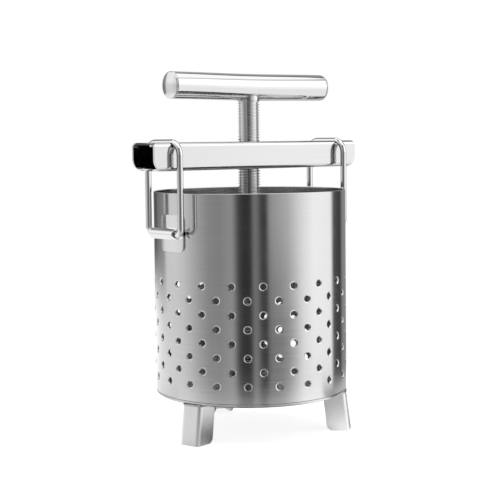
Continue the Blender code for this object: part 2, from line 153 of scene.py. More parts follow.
class Skin:
    """Collects grids of points with their normals, and welds them into one mesh."""

    def __init__(self):
        self.points, self.normals, self.faces, self.count = [], [], [], 0

    def grid(self, points, normals, wrap=False):
        """points and normals are rows x columns x 3."""
        points, normals = np.asarray(points, float), np.asarray(normals, float)
        rows, columns = points.shape[:2]
        index = self.count + np.arange(rows * columns).reshape(rows, columns)
        if wrap:
            index = np.concatenate([index, index[:, :1]], axis=1)
        quads = np.stack([index[:-1, :-1], index[:-1, 1:], index[1:, 1:], index[1:, :-1]], axis=-1)
        self.points.append(points.reshape(-1, 3))
        self.normals.append(normals.reshape(-1, 3))
        self.faces.append(quads.reshape(-1, 4))
        self.count += rows * columns

    def build(self, name):
        points, normals = np.concatenate(self.points), np.concatenate(self.normals)
        faces = np.concatenate(self.faces)
        cells = np.round(points / WELD_DISTANCE).astype(np.int64)
        _, first, same = np.unique(cells, axis=0, return_index=True, return_inverse=True)
        same = same.reshape(-1)
        total = np.zeros((len(first), 3))
        np.add.at(total, same, normals)
        total /= np.maximum(np.linalg.norm(total, axis=1, keepdims=True), 1e-12)
        points = points[first]
        polygons = []
        for quad in same[faces]:
            corners = [v for i, v in enumerate(quad) if v != quad[i - 1]]
            if len(set(corners)) < 3 or len(set(corners)) != len(corners):
                continue
            a, b, c = points[corners[0]], points[corners[1]], points[corners[2]]
            facing = np.cross(c - a, points[corners[-1]] - b) if len(corners) == 4 else np.cross(b - a, c - a)
            if facing @ total[corners].sum(axis=0) < 0:
                corners.reverse()
            polygons.append([int(v) for v in corners])
        mesh = bpy.data.meshes.new(name)
        mesh.from_pydata([tuple(p) for p in points], [], polygons)
        mesh.shade_smooth()
        mesh.normals_split_custom_set_from_vertices([tuple(n) for n in total])
        return link(bpy.data.objects.new(name, mesh))


def link(item):
    scene.collection.objects.link(item)
    return item


def arc(centre_a, centre_b, radius, start, end, steps):
    """Points on an arc from start to end, both in degrees."""
    angles = [radians(start + (end - start) * i / steps) for i in range(steps + 1)]
    return [(centre_a + radius * cos(a), centre_b + radius * sin(a)) for a in angles]


def rounded(outline, radius, steps=4):
    """An open outline with its inner corners rounded."""
    result = [outline[0]]
    for before, corner, after in zip(outline, outline[1:], outline[2:]):
        corner_v = Vector(corner)
        to_before, to_after = Vector(before) - corner_v, Vector(after) - corner_v
        reach = min(radius, to_before.length * 0.45, to_after.length * 0.45)
        start, end = corner_v + to_before.normalized() * reach, corner_v + to_after.normalized() * reach
        for i in range(steps + 1):
            t = i / steps
            result.append(tuple(start * (1 - t) ** 2 + corner_v * 2 * t * (1 - t) + end * t ** 2))
    return result + [outline[-1]]


def profile_normals(profile, closed=False):
    """Normals of a (radius, z) profile that runs down its outer side, led by the longer neighbour."""
    points = np.array(profile)
    steps = np.diff(points, axis=0)
    if closed:
        steps = np.vstack([steps, points[:1] - points[-1:]])
        before = np.roll(steps, 1, axis=0)
    else:
        before = np.vstack([steps[:1], steps])
        steps = np.vstack([steps, steps[-1:]])
    total = sum(np.linalg.norm(s, axis=1, keepdims=True) * np.c_[-s[:, 1], s[:, 0]] for s in (before, steps))
    return total / np.maximum(np.linalg.norm(total, axis=1, keepdims=True), 1e-15)


def revolve(skin, profile, normals, angles):
    profile, normals = np.asarray(profile), np.asarray(normals)
    circle = np.c_[np.cos(angles), np.sin(angles)]

    def spun(pairs):
        flat = pairs[:, None, :1] * circle[None]
        return np.concatenate([flat, np.broadcast_to(pairs[:, None, 1:], flat.shape[:2] + (1,))], axis=2)

    skin.grid(spun(profile), spun(normals), wrap=True)


def lathe(name, profile, count=128, closed=False):
    skin = Skin()
    normals = profile_normals(profile, closed)
    if closed:
        profile, normals = list(profile) + [profile[0]], np.vstack([normals, normals[:1]])
    revolve(skin, profile, normals, np.linspace(0, 2 * pi, count, endpoint=False))
    return skin.build(name)


def sheet(name, outer, inner, edge):
    """A closed piece of sheet between two equal grids of points, its edges rounded."""
    bm = bmesh.new()
    grids = [[[bm.verts.new(p) for p in row] for row in grid] for grid in (outer, inner)]
    rows, columns = len(outer), len(outer[0])
    for grid in grids:
        for i in range(rows - 1):
            for j in range(columns - 1):
                bm.faces.new((grid[i][j], grid[i][j + 1], grid[i + 1][j + 1], grid[i + 1][j]))
    rim = [(0, j) for j in range(columns)] + [(i, columns - 1) for i in range(1, rows)]
    rim += [(rows - 1, j) for j in range(columns - 2, -1, -1)] + [(i, 0) for i in range(rows - 2, 0, -1)]
    for (i, j), (k, m) in zip(rim, rim[1:] + rim[:1]):
        bm.faces.new((grids[0][i][j], grids[0][k][m], grids[1][k][m], grids[1][i][j]))
    return finished(name, bm, edge)


def finished(name, bm, edge=None):
    """A mesh object with rounded sharp edges and flat faces that shade flat."""
    bmesh.ops.recalc_face_normals(bm, faces=bm.faces)
    mesh = bpy.data.meshes.new(name)
    bm.to_mesh(mesh)
    bm.free()
    item = link(bpy.data.objects.new(name, mesh))
    return dressed(item, edge)


def dressed(item, edge=None, angle=40):
    item.data.shade_smooth()
    if edge:
        bevel = item.modifiers.new("Edges", "BEVEL")
        bevel.width = edge
        bevel.segments = 3
        bevel.limit_method = "ANGLE"
        bevel.angle_limit = radians(angle)
        bevel.use_clamp_overlap = True
    weighted = item.modifiers.new("Normals", "WEIGHTED_NORMAL")
    weighted.weight = 80
    weighted.keep_sharp = True
    return item


def cut(item, bm, name):
    """Cuts the closed shape in bm out of item."""
    mesh = bpy.data.meshes.new(name)
    bmesh.ops.recalc_face_normals(bm, faces=bm.faces)
    bm.to_mesh(mesh)
    bm.free()
    tool = link(bpy.data.objects.new(name, mesh))
    modifier = item.modifiers.new(name, "BOOLEAN")
    modifier.object = tool
    modifier.solver = "EXACT"
    evaluated = item.evaluated_get(bpy.context.evaluated_depsgraph_get())
    result = bpy.data.meshes.new_from_object(evaluated)
    item.modifiers.clear()
    item.data = result
    bpy.data.objects.remove(tool, do_unlink=True)


def prism(outline, axis, low, high):
    """A closed prism in a bmesh: outline in the plane across the axis ("x" or "z")."""
    bm = bmesh.new()

    def at(pair, along):
        return (along, pair[0], pair[1]) if axis == "x" else (pair[0], pair[1], along)

    bottom = [bm.verts.new(at(p, low)) for p in outline]
    top = [bm.verts.new(at(p, high)) for p in outline]
    bm.faces.new(bottom)
    bm.faces.new(top)
    for i in range(len(outline)):
        j = (i + 1) % len(outline)
        bm.faces.new((bottom[i], bottom[j], top[j], top[i]))
    return bm


def sweep(skin, path, tangents, side, radius, sides, edge):
    """A round bar with softened ends along a path in the plane across the unit vector side."""
    path, tangents, side = np.asarray(path), np.asarray(tangents), np.asarray(side, float)
    turn = np.linspace(0, 2 * pi, sides, endpoint=False)
    across = np.cross(tangents, side)
    rings = [(0, 0.0, -1, 0, 0.0), (0, 0.5 * (radius - edge), -1, 0, 0.0)]
    for step in range(4):
        a = step / 3 * pi / 2
        rings.append((0, radius - edge + edge * sin(a), -cos(a), edge * (1 - cos(a)), sin(a)))
    rings += [(i, radius, 0.0, 0.0, 1.0) for i in range(1, len(path) - 1)]
    last = len(path) - 1
    for step in range(3, -1, -1):
        a = step / 3 * pi / 2
        rings.append((last, radius - edge + edge * sin(a), cos(a), -edge * (1 - cos(a)), sin(a)))
    rings += [(last, 0.5 * (radius - edge), 1, 0, 0.0), (last, 0.0, 1, 0, 0.0)]
    points, normals = [], []
    for i, ring_radius, along, shift, outward in rings:
        spoke = np.cos(turn)[:, None] * side + np.sin(turn)[:, None] * across[i]
        points.append(path[i] + tangents[i] * shift + spoke * ring_radius)
        normals.append(spoke * outward + tangents[i] * along)
    skin.grid(points, normals, wrap=True)


def placed(name, body, slot, material, *nodes):
    """Sets a piece's material, hangs it on its body's empty and hides the CAD nodes it stands for. slot is
    not used.
    """
    piece = bpy.data.objects[name]
    piece.data.materials.clear()
    piece.data.materials.append(material)
    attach(piece, body)
    if nodes:
        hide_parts(*nodes)
    return piece


# Materials

def steel(name, tone, roughness, brush, line_depth, variation, anisotropy=0.0, smudge=0.02):
    """Steel with brush lines stretched by the scale of brush, and faint uneven polish."""
    material = bpy.data.materials.new(name)
    material.use_nodes = True
    nodes, links = material.node_tree.nodes, material.node_tree.links
    shader = nodes["Principled BSDF"]
    shader.inputs["Metallic"].default_value = 1.0
    coordinates = nodes.new("ShaderNodeTexCoord")
    mapping = nodes.new("ShaderNodeMapping")
    mapping.inputs["Scale"].default_value = brush
    links.new(coordinates.outputs["Object"], mapping.inputs["Vector"])
    lines = nodes.new("ShaderNodeTexNoise")
    lines.inputs["Scale"].default_value = 1.0
    lines.inputs["Detail"].default_value = 4.0
    lines.inputs["Roughness"].default_value = 0.65
    links.new(mapping.outputs["Vector"], lines.inputs["Vector"])
    cloud = nodes.new("ShaderNodeTexNoise")
    cloud.inputs["Scale"].default_value = 38.0
    cloud.inputs["Detail"].default_value = 5.0
    links.new(coordinates.outputs["Object"], cloud.inputs["Vector"])

    def ranged(source, low, high):
        node = nodes.new("ShaderNodeMapRange")
        node.inputs["From Min"].default_value = 0.3
        node.inputs["From Max"].default_value = 0.7
        node.inputs["To Min"].default_value = low
        node.inputs["To Max"].default_value = high
        links.new(source.outputs["Fac"], node.inputs["Value"])
        return node.outputs["Result"]

    total = nodes.new("ShaderNodeMath")
    total.operation = "ADD"
    total.use_clamp = True
    links.new(ranged(lines, roughness - variation, roughness + variation), total.inputs[0])
    links.new(ranged(cloud, -smudge, smudge), total.inputs[1])
    links.new(total.outputs[0], shader.inputs["Roughness"])

    colours = nodes.new("ShaderNodeMix")
    colours.data_type = "RGBA"
    colours.inputs["A"].default_value = (tone * 0.975, tone * 0.975, tone * 0.98, 1)
    colours.inputs["B"].default_value = (tone * 1.02, tone * 1.02, tone * 1.025, 1)
    links.new(ranged(lines, 0.0, 1.0), colours.inputs["Factor"])
    links.new(colours.outputs["Result"], shader.inputs["Base Color"])

    if line_depth:
        bump = nodes.new("ShaderNodeBump")
        bump.inputs["Strength"].default_value = 1.0
        bump.inputs["Distance"].default_value = line_depth
        links.new(lines.outputs["Fac"], bump.inputs["Height"])
        links.new(bump.outputs["Normal"], shader.inputs["Normal"])
    if anisotropy:
        tangent = nodes.new("ShaderNodeTangent")
        tangent.direction_type = "RADIAL"
        tangent.axis = "Z"
        links.new(tangent.outputs["Tangent"], shader.inputs["Tangent"])
        shader.inputs["Anisotropic"].default_value = anisotropy
        shader.inputs["Anisotropic Rotation"].default_value = 0.25
    return material


barrel_steel = steel("barrel_steel", 0.66, 0.145, (22, 22, 1500), 0.0, 0.025, anisotropy=0.35)
leg_steel = steel("leg_steel", 0.90, 0.36, (1400, 1400, 60), 0.000004, 0.05)
strap_steel = steel("strap_steel", 0.82, 0.11, (1300, 30, 1300), 0.000001, 0.03)
bar_steel = steel("bar_steel", 0.66, 0.12, (16, 1200, 1200), 0.000001, 0.03)
wire_steel = steel("wire_steel", 0.84, 0.060, (900, 900, 120), 0.000001, 0.03)
thread_steel = steel("thread_steel", 0.74, 0.09, (500, 500, 2600), 0.000002, 0.04)
handle_steel = steel("handle_steel", 0.74, 0.055, (14, 1100, 1100), 0.0000005, 0.015, smudge=0.012)
plate_steel = steel("plate_steel", 0.64, 0.28, (1300, 1300, 1300), 0.000003, 0.05)
weld_steel = steel("weld_steel", 0.52, 0.34, (1600, 1600, 1600), 0.00002, 0.08)


# The barrel

def cell_border(half_a, half_b, across, up):
    """The edge of a rectangle, anticlockwise from the middle of its right side."""
    border = [(half_a, half_b * 2 * i / up) for i in range(up // 2)]
    border += [(half_a - 2 * half_a * i / across, half_b) for i in range(across)]
    border += [(-half_a, half_b - 2 * half_b * i / up) for i in range(up)]
    border += [(-half_a + 2 * half_a * i / across, -half_b) for i in range(across)]
    border += [(half_a, -half_b + 2 * half_b * i / up) for i in range(up // 2)]
    return np.array(border)


def holed_cell(skin, border, thickness, locate, aim):
    """A hole with rolled edges and the sheet round it, out to border."""
    count = len(border)
    turn = np.arange(count) * 2 * pi / count
    spoke = np.c_[np.cos(turn), np.sin(turn)]
    plain = np.zeros((count, 2))
    rows = []
    lip_width, lip_depth = LIP
    for t in (0, 0.3, 0.55, 0.78, 1):
        rows.append(((1 - t) * border + t * spoke * (HOLE_RADIUS + lip_width), 0.0, plain, 1.0))
    for t in (0.08, 0.25, 0.5, 0.75, 1):
        slope = LIP_CURVE * lip_depth / lip_width * t ** (LIP_CURVE - 1)
        ring = spoke * (HOLE_RADIUS + lip_width * (1 - t))
        rows.append((ring, lip_depth * t ** LIP_CURVE, -spoke * slope, 1.0))
    rows.append((spoke * HOLE_RADIUS, lip_depth + 0.00005, -spoke, 0.0))
    width, depth = INNER_LIP
    for t in np.radians((0, 45, 90)):
        ring = spoke * (HOLE_RADIUS + width * (1 - cos(t)))
        rows.append((ring, thickness - depth * (1 - sin(t)), -spoke * cos(t) / width, -sin(t) / depth))
    for t in (0.3, 0.65, 1):
        rows.append((t * border + (1 - t) * spoke * (HOLE_RADIUS + width), thickness, plain, -1.0))
    points = [locate(ring, depth_here) for ring, depth_here, _, _ in rows]
    normals = []
    for ring, _, flat, out in rows:
        length = np.sqrt((flat ** 2).sum(axis=1) + out ** 2)[:, None]
        normals.append(aim(ring, flat / length, (out / length)))
    skin.grid(points, normals, wrap=True)


def wall_cell(skin, angle, z):
    def turned(ring):
        theta = angle + ring[:, 0] / RADIUS
        return np.c_[np.cos(theta), np.sin(theta), 0 * theta], np.c_[-np.sin(theta), np.cos(theta), 0 * theta]

    def locate(ring, depth):
        return turned(ring)[0] * (RADIUS - depth) + np.c_[0 * ring, z + ring[:, 1]]

    def aim(ring, flat, out):
        outward, along = turned(ring)
        return outward * out + along * flat[:, :1] + np.array([[0, 0, 1]]) * flat[:, 1:]

    border = cell_border(RADIUS * pi / HOLES_PER_ROW, ROW_PITCH / 2, CELL_STEPS, CELL_RISE_STEPS)
    holed_cell(skin, border, SHEET, locate, aim)


def make_wall():
    skin = Skin()
    stagger = pi / HOLES_PER_ROW
    for row in range(HOLE_ROWS):
        start = HOLE_START + (stagger if row % 2 == 0 else 0)
        for column in range(HOLES_PER_ROW):
            wall_cell(skin, start + column * 2 * stagger, LOWEST_ROW_Z + row * ROW_PITCH)
    angles = HOLE_START + np.arange(HOLES_PER_ROW * CELL_STEPS) * 2 * stagger / CELL_STEPS
    low, high = LOWEST_ROW_Z - ROW_PITCH / 2, LOWEST_ROW_Z + (HOLE_ROWS - 0.5) * ROW_PITCH
    round_over = SHEET / 2
    middle = RADIUS - round_over
    for start_z, end_z, sign in ((high, RIM_Z, 1), (low, WALL_BOTTOM_Z, -1)):
        stops = np.linspace(start_z, end_z - sign * round_over, 8)
        profile = [(RADIUS, z, 1, 0) for z in stops[:-1]]
        for t in np.linspace(0, pi, 11):
            z = end_z - sign * round_over * (1 - sin(t))
            profile.append((middle + round_over * cos(t), z, cos(t), sign * sin(t)))
        profile += [(RADIUS - SHEET, z, -1, 0) for z in stops[-2::-1]]
        profile = np.array(profile)
        revolve(skin, profile[:, :2], profile[:, 2:], angles)
    skin.build("perforated_wall")
    placed("perforated_wall", "root", "barrel_steel", barrel_steel, "barrel_shell")


def floor_cell(skin, angle, ring_radius, count, steps):
    """A hole in the floor. Depth runs up from the underside."""
    out = np.array([cos(angle), sin(angle), 0])
    along = np.array([-sin(angle), cos(angle), 0])
    polar = cell_border(pi / count, FLOOR_RING_HALF, steps, 4)
    reach = ring_radius + polar[:, 1]
    border = np.c_[reach * np.sin(polar[:, 0]), reach * np.cos(polar[:, 0]) - ring_radius]

    def locate(ring, depth):
        flat = ring[:, :1] * along + (ring_radius + ring[:, 1:]) * out
        return flat + np.array([0, 0, BASE_Z + depth])

    def aim(ring, flat, down):
        return flat[:, :1] * along + flat[:, 1:] * out + np.array([[0, 0, -1.0]]) * down

    holed_cell(skin, border, FLOOR_SHEET, locate, aim)


def make_base():
    skin = Skin()
    for count, ring_radius, steps in FLOOR_RINGS:
        for i in range(count):
            floor_cell(skin, 2 * pi * i / count, ring_radius, count, steps)
    angles = np.arange(216) * 2 * pi / 216
    inner, outer = FLOOR_RINGS[0][1] - FLOOR_RING_HALF, FLOOR_RINGS[-1][1] + FLOOR_RING_HALF
    top = BASE_Z + FLOOR_SHEET
    for z, facing in ((BASE_Z, -1), (top, 1)):
        revolve(skin, [(0, z), (inner / 2, z), (inner, z)], [(0, facing)] * 3, angles)
    profile = [(outer, top, 0, 1), (RADIUS - 0.0022, top, 0, 1), (RADIUS - 0.0014, top + 0.0002, -0.5, 0.8)]
    profile += [(RADIUS - 0.0011, FLOOR_LIP_Z - 0.0002, -0.8, 0.5), (RADIUS - 0.0007, FLOOR_LIP_Z, 0, 1)]
    profile += [(RADIUS - 0.0003, FLOOR_LIP_Z, 0.3, 1), (RADIUS, FLOOR_LIP_Z - 0.0003, 1, 0.1)]
    for a in np.radians(np.linspace(0, -90, 9)):
        spot = (RADIUS - BASE_EDGE + BASE_EDGE * cos(a), BASE_Z + BASE_EDGE + BASE_EDGE * sin(a))
        profile.append((*spot, cos(a), sin(a)))
    profile.append((outer, BASE_Z, 0, -1))
    profile = np.array(profile)
    revolve(skin, profile[:, :2], profile[:, 2:], angles)
    skin.build("base_disc")
    placed("base_disc", "root", "barrel_steel", barrel_steel, "barrel_floor")


# Legs

def leg_outline(radius, depth, offset, top_steps=10):
    """Half of the channel seen from above as (across, out), from the middle of the web to a flange's tip."""
    half = LEG_WIDTH / 2 - offset
    face = radius - offset
    bend = max(LEG_BEND - offset, 0.0004)
    points = [(half - bend) * t for t in (0, 0.35, 0.7, 0.93)]
    points = [(across, face) for across in points]
    points += arc(half - bend, face - bend, bend, 90, 0, 6)
    tip = radius - depth
    start = face - bend
    return points + [(half, start + (tip - start) * i / top_steps) for i in range(1, top_steps + 1)]


def leg_rows(angle, offset):
    top = BASE_Z - 0.0001
    slope = (LEG_TOP_RADIUS - LEG_FOOT_RADIUS) / top
    out, along = Vector((cos(angle), sin(angle), 0)), Vector((-sin(angle), cos(angle), 0))
    heights = [LEG_CORNER * (1 - cos(radians(a))) for a in range(0, 91, 15)]
    heights += [LEG_CORNER + (top - LEG_CORNER) * i / 6 for i in range(1, 7)]
    rows = []
    for z in heights:
        short = LEG_CORNER - sqrt(max(LEG_CORNER ** 2 - max(LEG_CORNER - z, 0) ** 2, 0))
        half = leg_outline(LEG_FOOT_RADIUS + slope * z, LEG_DEPTH - short, offset)
        line = [(-a, b) for a, b in reversed(half[1:])] + half
        rows.append([along * a + out * b + Vector((0, 0, z)) for a, b in line])
    return rows


def make_legs():
    for side, angle in LEG_ANGLES.items():
        name = f"leg_{side}_channel"
        sheet(name, leg_rows(angle, 0), leg_rows(angle, LEG_SHEET), 0.0003)
        placed(name, "root", "leg_steel", leg_steel, f"leg_{side}")
        skin = Skin()
        half = leg_outline(LEG_TOP_RADIUS, LEG_DEPTH, -0.0001)
        line = [(-a, b) for a, b in reversed(half[1:])] + half
        out, along = np.array([cos(angle), sin(angle), 0]), np.array([-sin(angle), cos(angle), 0])
        path = np.array([along * a + out * b + np.array([0, 0, BASE_Z - 0.0004]) for a, b in line])
        bead = np.gradient(path, axis=0)
        bead /= np.linalg.norm(bead, axis=1, keepdims=True)
        sweep(skin, path, bead, (0, 0, 1), 0.0006, 12, 0.0003)
        skin.build(f"leg_{side}_weld")
        placed(f"leg_{side}_weld", "root", "leg_steel", weld_steel)


# Bails and straps

def make_bail(side):
    path, tangents = [], []

    def go(points, start_angle, end_angle):
        for i, point in enumerate(points):
            a = radians(start_angle + (end_angle - start_angle) * i / max(len(points) - 1, 1))
            path.append((SIDES[side] * HINGE_X, *point))
            tangents.append((0, cos(a), sin(a)))

    half, foot, top = BAIL_HALF_WIDTH, BAIL_FOOT_BEND, BAIL_TOP_BEND
    low, high = HINGE_Z + foot, BAR_TOP_Z - top
    go([(WIRE_END_Y, HINGE_Z), (WIRE_END_Y + 0.006, HINGE_Z)], 0, 0)
    go(arc(half - foot, low, foot, -90, 0, 10), 0, 90)
    go([(half, low + (high - low) * i / 5) for i in range(1, 5)], 90, 90)
    go(arc(half - top, high, top, 0, 90, 14), 90, 180)
    points, directions = np.array(path), np.array(tangents)
    mirror = np.array([1, -1, 1])
    points = np.concatenate([points, (points * mirror)[::-1]])
    directions = np.concatenate([directions, (directions * -mirror)[::-1]])
    skin = Skin()
    sweep(skin, points, directions, (1, 0, 0), WIRE_RADIUS, 36, 0.0004)
    skin.build(f"bail_{side}_wire")
    placed(f"bail_{side}_wire", f"bail_{side}", "wire_steel", wire_steel, f"bail_{side}")


def strap_line(y, offset):
    """Half of the strap's side view at y, as (x, z) from the middle of the knuckle to the leaf's end."""
    face = sqrt((RADIUS + 0.0001 + STRAP_SHEET) ** 2 - y * y)
    gap = face + KNUCKLE_FILLET - HINGE_X
    reach = KNUCKLE_RADIUS + KNUCKLE_FILLET
    rise = sqrt(reach ** 2 - gap ** 2)
    joint = pi - atan2(rise, -gap)
    knuckle = [joint * i / 16 for i in range(17)]
    radius = KNUCKLE_RADIUS - offset
    line = [(HINGE_X + radius * cos(a), radius * sin(a)) for a in knuckle]
    turn = [joint - pi + (-pi - (joint - pi)) * i / 6 for i in range(1, 7)]
    fillet = KNUCKLE_FILLET + offset
    line += [(face + KNUCKLE_FILLET + fillet * cos(a), rise + fillet * sin(a)) for a in turn]
    corner = max(abs(y) - (STRAP_HALF_WIDTH - STRAP_CORNER), 0)
    end = STRAP_HALF_HEIGHT - STRAP_CORNER + sqrt(max(STRAP_CORNER ** 2 - corner ** 2, 0))
    return line + [(face - offset, rise + (end - rise) * i / 6) for i in range(1, 7)]


def make_strap(side):
    inner = STRAP_HALF_WIDTH - STRAP_CORNER
    right = [inner + STRAP_CORNER * sin(radians(a)) for a in range(15, 91, 15)]
    stations = [-y for y in reversed(right)] + [inner * i / 6 for i in range(-6, 7)] + right
    grids = []
    for offset in (0, STRAP_SHEET):
        rows = []
        for y in stations:
            half = strap_line(y, offset)
            line = [(x, -z) for x, z in reversed(half[1:])] + half
            rows.append([(SIDES[side] * x, SIDES[side] * y, HINGE_Z + z) for x, z in line])
        grids.append(rows)
    name = f"strap_{side}_sheet"
    sheet(name, *grids, 0.0005)
    placed(name, "root", "strap_steel", strap_steel, f"bail_strap_{side}")


# The crossbar

def bar_end(z):
    """How far the tube reaches along X at a height, with its rounded end corners."""
    inset = 0.0
    for corner, distance in ((BAR_END_LOW_CORNER, z - BAR_BOTTOM_Z), (BAR_END_TOP_CORNER, BAR_TOP_Z - z)):
        if distance < corner:
            inset = max(inset, corner - sqrt(max(corner ** 2 - (corner - distance) ** 2, 0)))
    return BAR_LENGTH / 2 - inset


def bar_section(half_width, half_height, corner):
    """The tube's outline as (y, z from its middle), anticlockwise, closed."""
    side = [corner + (2 * half_height - 2 * corner) * (1 - cos(radians(a))) / 2 for a in range(18, 180, 18)]
    right = [(half_width, -half_height + s) for s in side]
    flat = half_width - corner
    points = arc(flat, corner - half_height, corner, -90, 0, 6) + right
    points += arc(flat, half_height - corner, corner, 0, 90, 6)
    points += arc(-flat, half_height - corner, corner, 90, 180, 6) + [(-a, b) for a, b in reversed(right)]
    return points + arc(-flat, corner - half_height, corner, 180, 270, 6)


def make_crossbar():
    middle = BAR_BOTTOM_Z + BAR_HEIGHT / 2
    wall = BAR_WALL
    outer = bar_section(BAR_WIDTH / 2, BAR_HEIGHT / 2, BAR_EDGE)
    inner = bar_section(BAR_WIDTH / 2 - wall, BAR_HEIGHT / 2 - wall, BAR_EDGE - wall)
    bm = bmesh.new()
    loops = []
    for section in (outer, inner):
        for sign in (-1, 1):
            loops.append([bm.verts.new((sign * bar_end(middle + z), y, middle + z)) for y, z in section])
    outer_near, outer_far, inner_near, inner_far = loops
    pairs = [(outer_near, outer_far), (inner_near, inner_far)]
    pairs += [(outer_near, inner_near), (outer_far, inner_far)]
    count = len(outer)
    for first, second in pairs:
        for i in range(count):
            j = (i + 1) % count
            bm.faces.new((first[i], first[j], second[j], second[i]))
    bmesh.ops.recalc_face_normals(bm, faces=bm.faces)
    mesh = bpy.data.meshes.new("crossbar_tube")
    bm.to_mesh(mesh)
    bm.free()
    bar = link(bpy.data.objects.new("crossbar_tube", mesh))
    bore = arc(0, 0, BAR_BORE, 0, 360 - 3.75, 95)
    cut(bar, prism(bore, "z", BAR_BOTTOM_Z - CUT_MARGIN, BAR_TOP_Z + CUT_MARGIN), "bore")
    for side, sign in SIDES.items():
        bend = BAIL_TOP_BEND - WIRE_RADIUS - NOTCH_PLAY
        half = BAIL_HALF_WIDTH - WIRE_RADIUS - NOTCH_PLAY
        seat = BAR_TOP_Z - WIRE_RADIUS - NOTCH_PLAY
        under = arc(half - bend, seat - bend, bend, 0, 90, 14)
        outline = under + [(-y, z) for y, z in reversed(under)]
        wide, above = half + CUT_MARGIN, BAR_TOP_Z + CUT_MARGIN
        outline += [(-wide, under[0][1]), (-wide, above), (wide, above), (wide, under[0][1])]
        x = sign * HINGE_X
        cut(bar, prism(outline, "x", x - NOTCH_HALF_WIDTH, x + NOTCH_HALF_WIDTH), f"notch_{side}")
    dressed(bar, 0.00022, 38)
    placed("crossbar_tube", "root", "bar_steel", bar_steel, "crossbar")

    low, high = BAR_BOTTOM_Z + wall + 0.0002, BAR_TOP_Z - wall - 0.0002
    ring = [(BUSH_BORE, high), (BUSH_RADIUS, high), (BUSH_RADIUS, low), (BUSH_BORE, low)]
    lathe("bush_ring", rounded(ring, 0.0005), 96, closed=True)
    placed("bush_ring", "root", "thread_steel", thread_steel, "threaded_bush")


# The screw and its handle

THREAD_STOPS = (0, 0.05, 0.08, 0.16, 0.24, 0.32, 0.37, 0.41)
THREAD_STOPS += (0.5,) + tuple(1 - s for s in reversed(THREAD_STOPS[1:]))


def thread_radius(z, theta):
    s = (z / PITCH - theta / (2 * pi)) % 1.0
    s = np.minimum(s, 1 - s)
    depth = THREAD_DEPTH * np.clip((s - THREAD_CREST) / THREAD_FLANK, 0, 1)
    fade = np.clip((z - (THREAD_TOP_Z - THREAD_RUNOUT)) / THREAD_RUNOUT, 0, 1)
    fade = fade * fade * (3 - 2 * fade)
    radius = (MAJOR_RADIUS - depth) * (1 - fade) + SHANK_RADIUS * fade
    return np.minimum(radius, MAJOR_RADIUS - THREAD_DEPTH + (z - THREAD_BOTTOM_Z) * 0.8)


def make_screw():
    columns = 48
    theta = np.arange(columns) * 2 * pi / columns
    per_turn = len(THREAD_STOPS)
    turns = int((THREAD_TOP_Z - THREAD_BOTTOM_Z) / PITCH) + 3
    first_turn = int(THREAD_BOTTOM_Z / PITCH) - 1
    levels = [(first_turn + turn + stop) * PITCH for turn in range(turns) for stop in THREAD_STOPS]
    points = []
    for level in levels:
        z = np.clip(level + PITCH * theta / (2 * pi), THREAD_BOTTOM_Z, THREAD_TOP_Z)
        radius = thread_radius(z, theta)
        points.append(np.c_[radius * np.cos(theta), radius * np.sin(theta), z])
    points = np.array(points)
    bm = bmesh.new()
    grid = [[bm.verts.new(p) for p in row] for row in points]
    for i in range(len(levels) - 1):
        for j in range(columns):
            shift = per_turn if j == columns - 1 else 0
            if i + 1 + shift >= len(levels):
                continue
            k = (j + 1) % columns
            bm.faces.new((grid[i][j], grid[i + shift][k], grid[i + 1 + shift][k], grid[i + 1][j]))
    bmesh.ops.remove_doubles(bm, verts=bm.verts, dist=2e-6)
    loose = [v for v in bm.verts if not v.link_faces]
    bmesh.ops.delete(bm, geom=loose, context="VERTS")
    rim = [e for e in bm.edges if e.is_boundary]
    top_rim = [e for e in rim if e.verts[0].co.z > HINGE_Z]
    raised = bmesh.ops.extrude_edge_only(bm, edges=top_rim)["geom"]
    for vert in (g for g in raised if isinstance(g, bmesh.types.BMVert)):
        vert.co.z = SCREW_TOP_Z
    bmesh.ops.holes_fill(bm, edges=[e for e in bm.edges if e.is_boundary], sides=0)
    bmesh.ops.recalc_face_normals(bm, faces=bm.faces)
    mesh = bpy.data.meshes.new("screw_thread")
    bm.to_mesh(mesh)
    bm.free()
    mesh.shade_smooth()
    mesh.set_sharp_from_angle(angle=radians(50))
    link(bpy.data.objects.new("screw_thread", mesh))
    placed("screw_thread", "screw", "thread_steel", thread_steel, "press_screw")

    neck_top = THREAD_BOTTOM_Z + 0.0005
    profile = [(0, neck_top), (NECK_RADIUS, neck_top), (NECK_RADIUS, FOOT_TOP_Z)]
    profile += [(FOOT_RADIUS, FOOT_TOP_Z), (FOOT_RADIUS, FOOT_BOTTOM_Z), (0, FOOT_BOTTOM_Z)]
    lathe("screw_foot", rounded(profile, 0.0006), 96)
    placed("screw_foot", "screw", "thread_steel", thread_steel)


def handle_matrix():
    return Matrix.Rotation(HANDLE_ANGLE, 4, "Z")


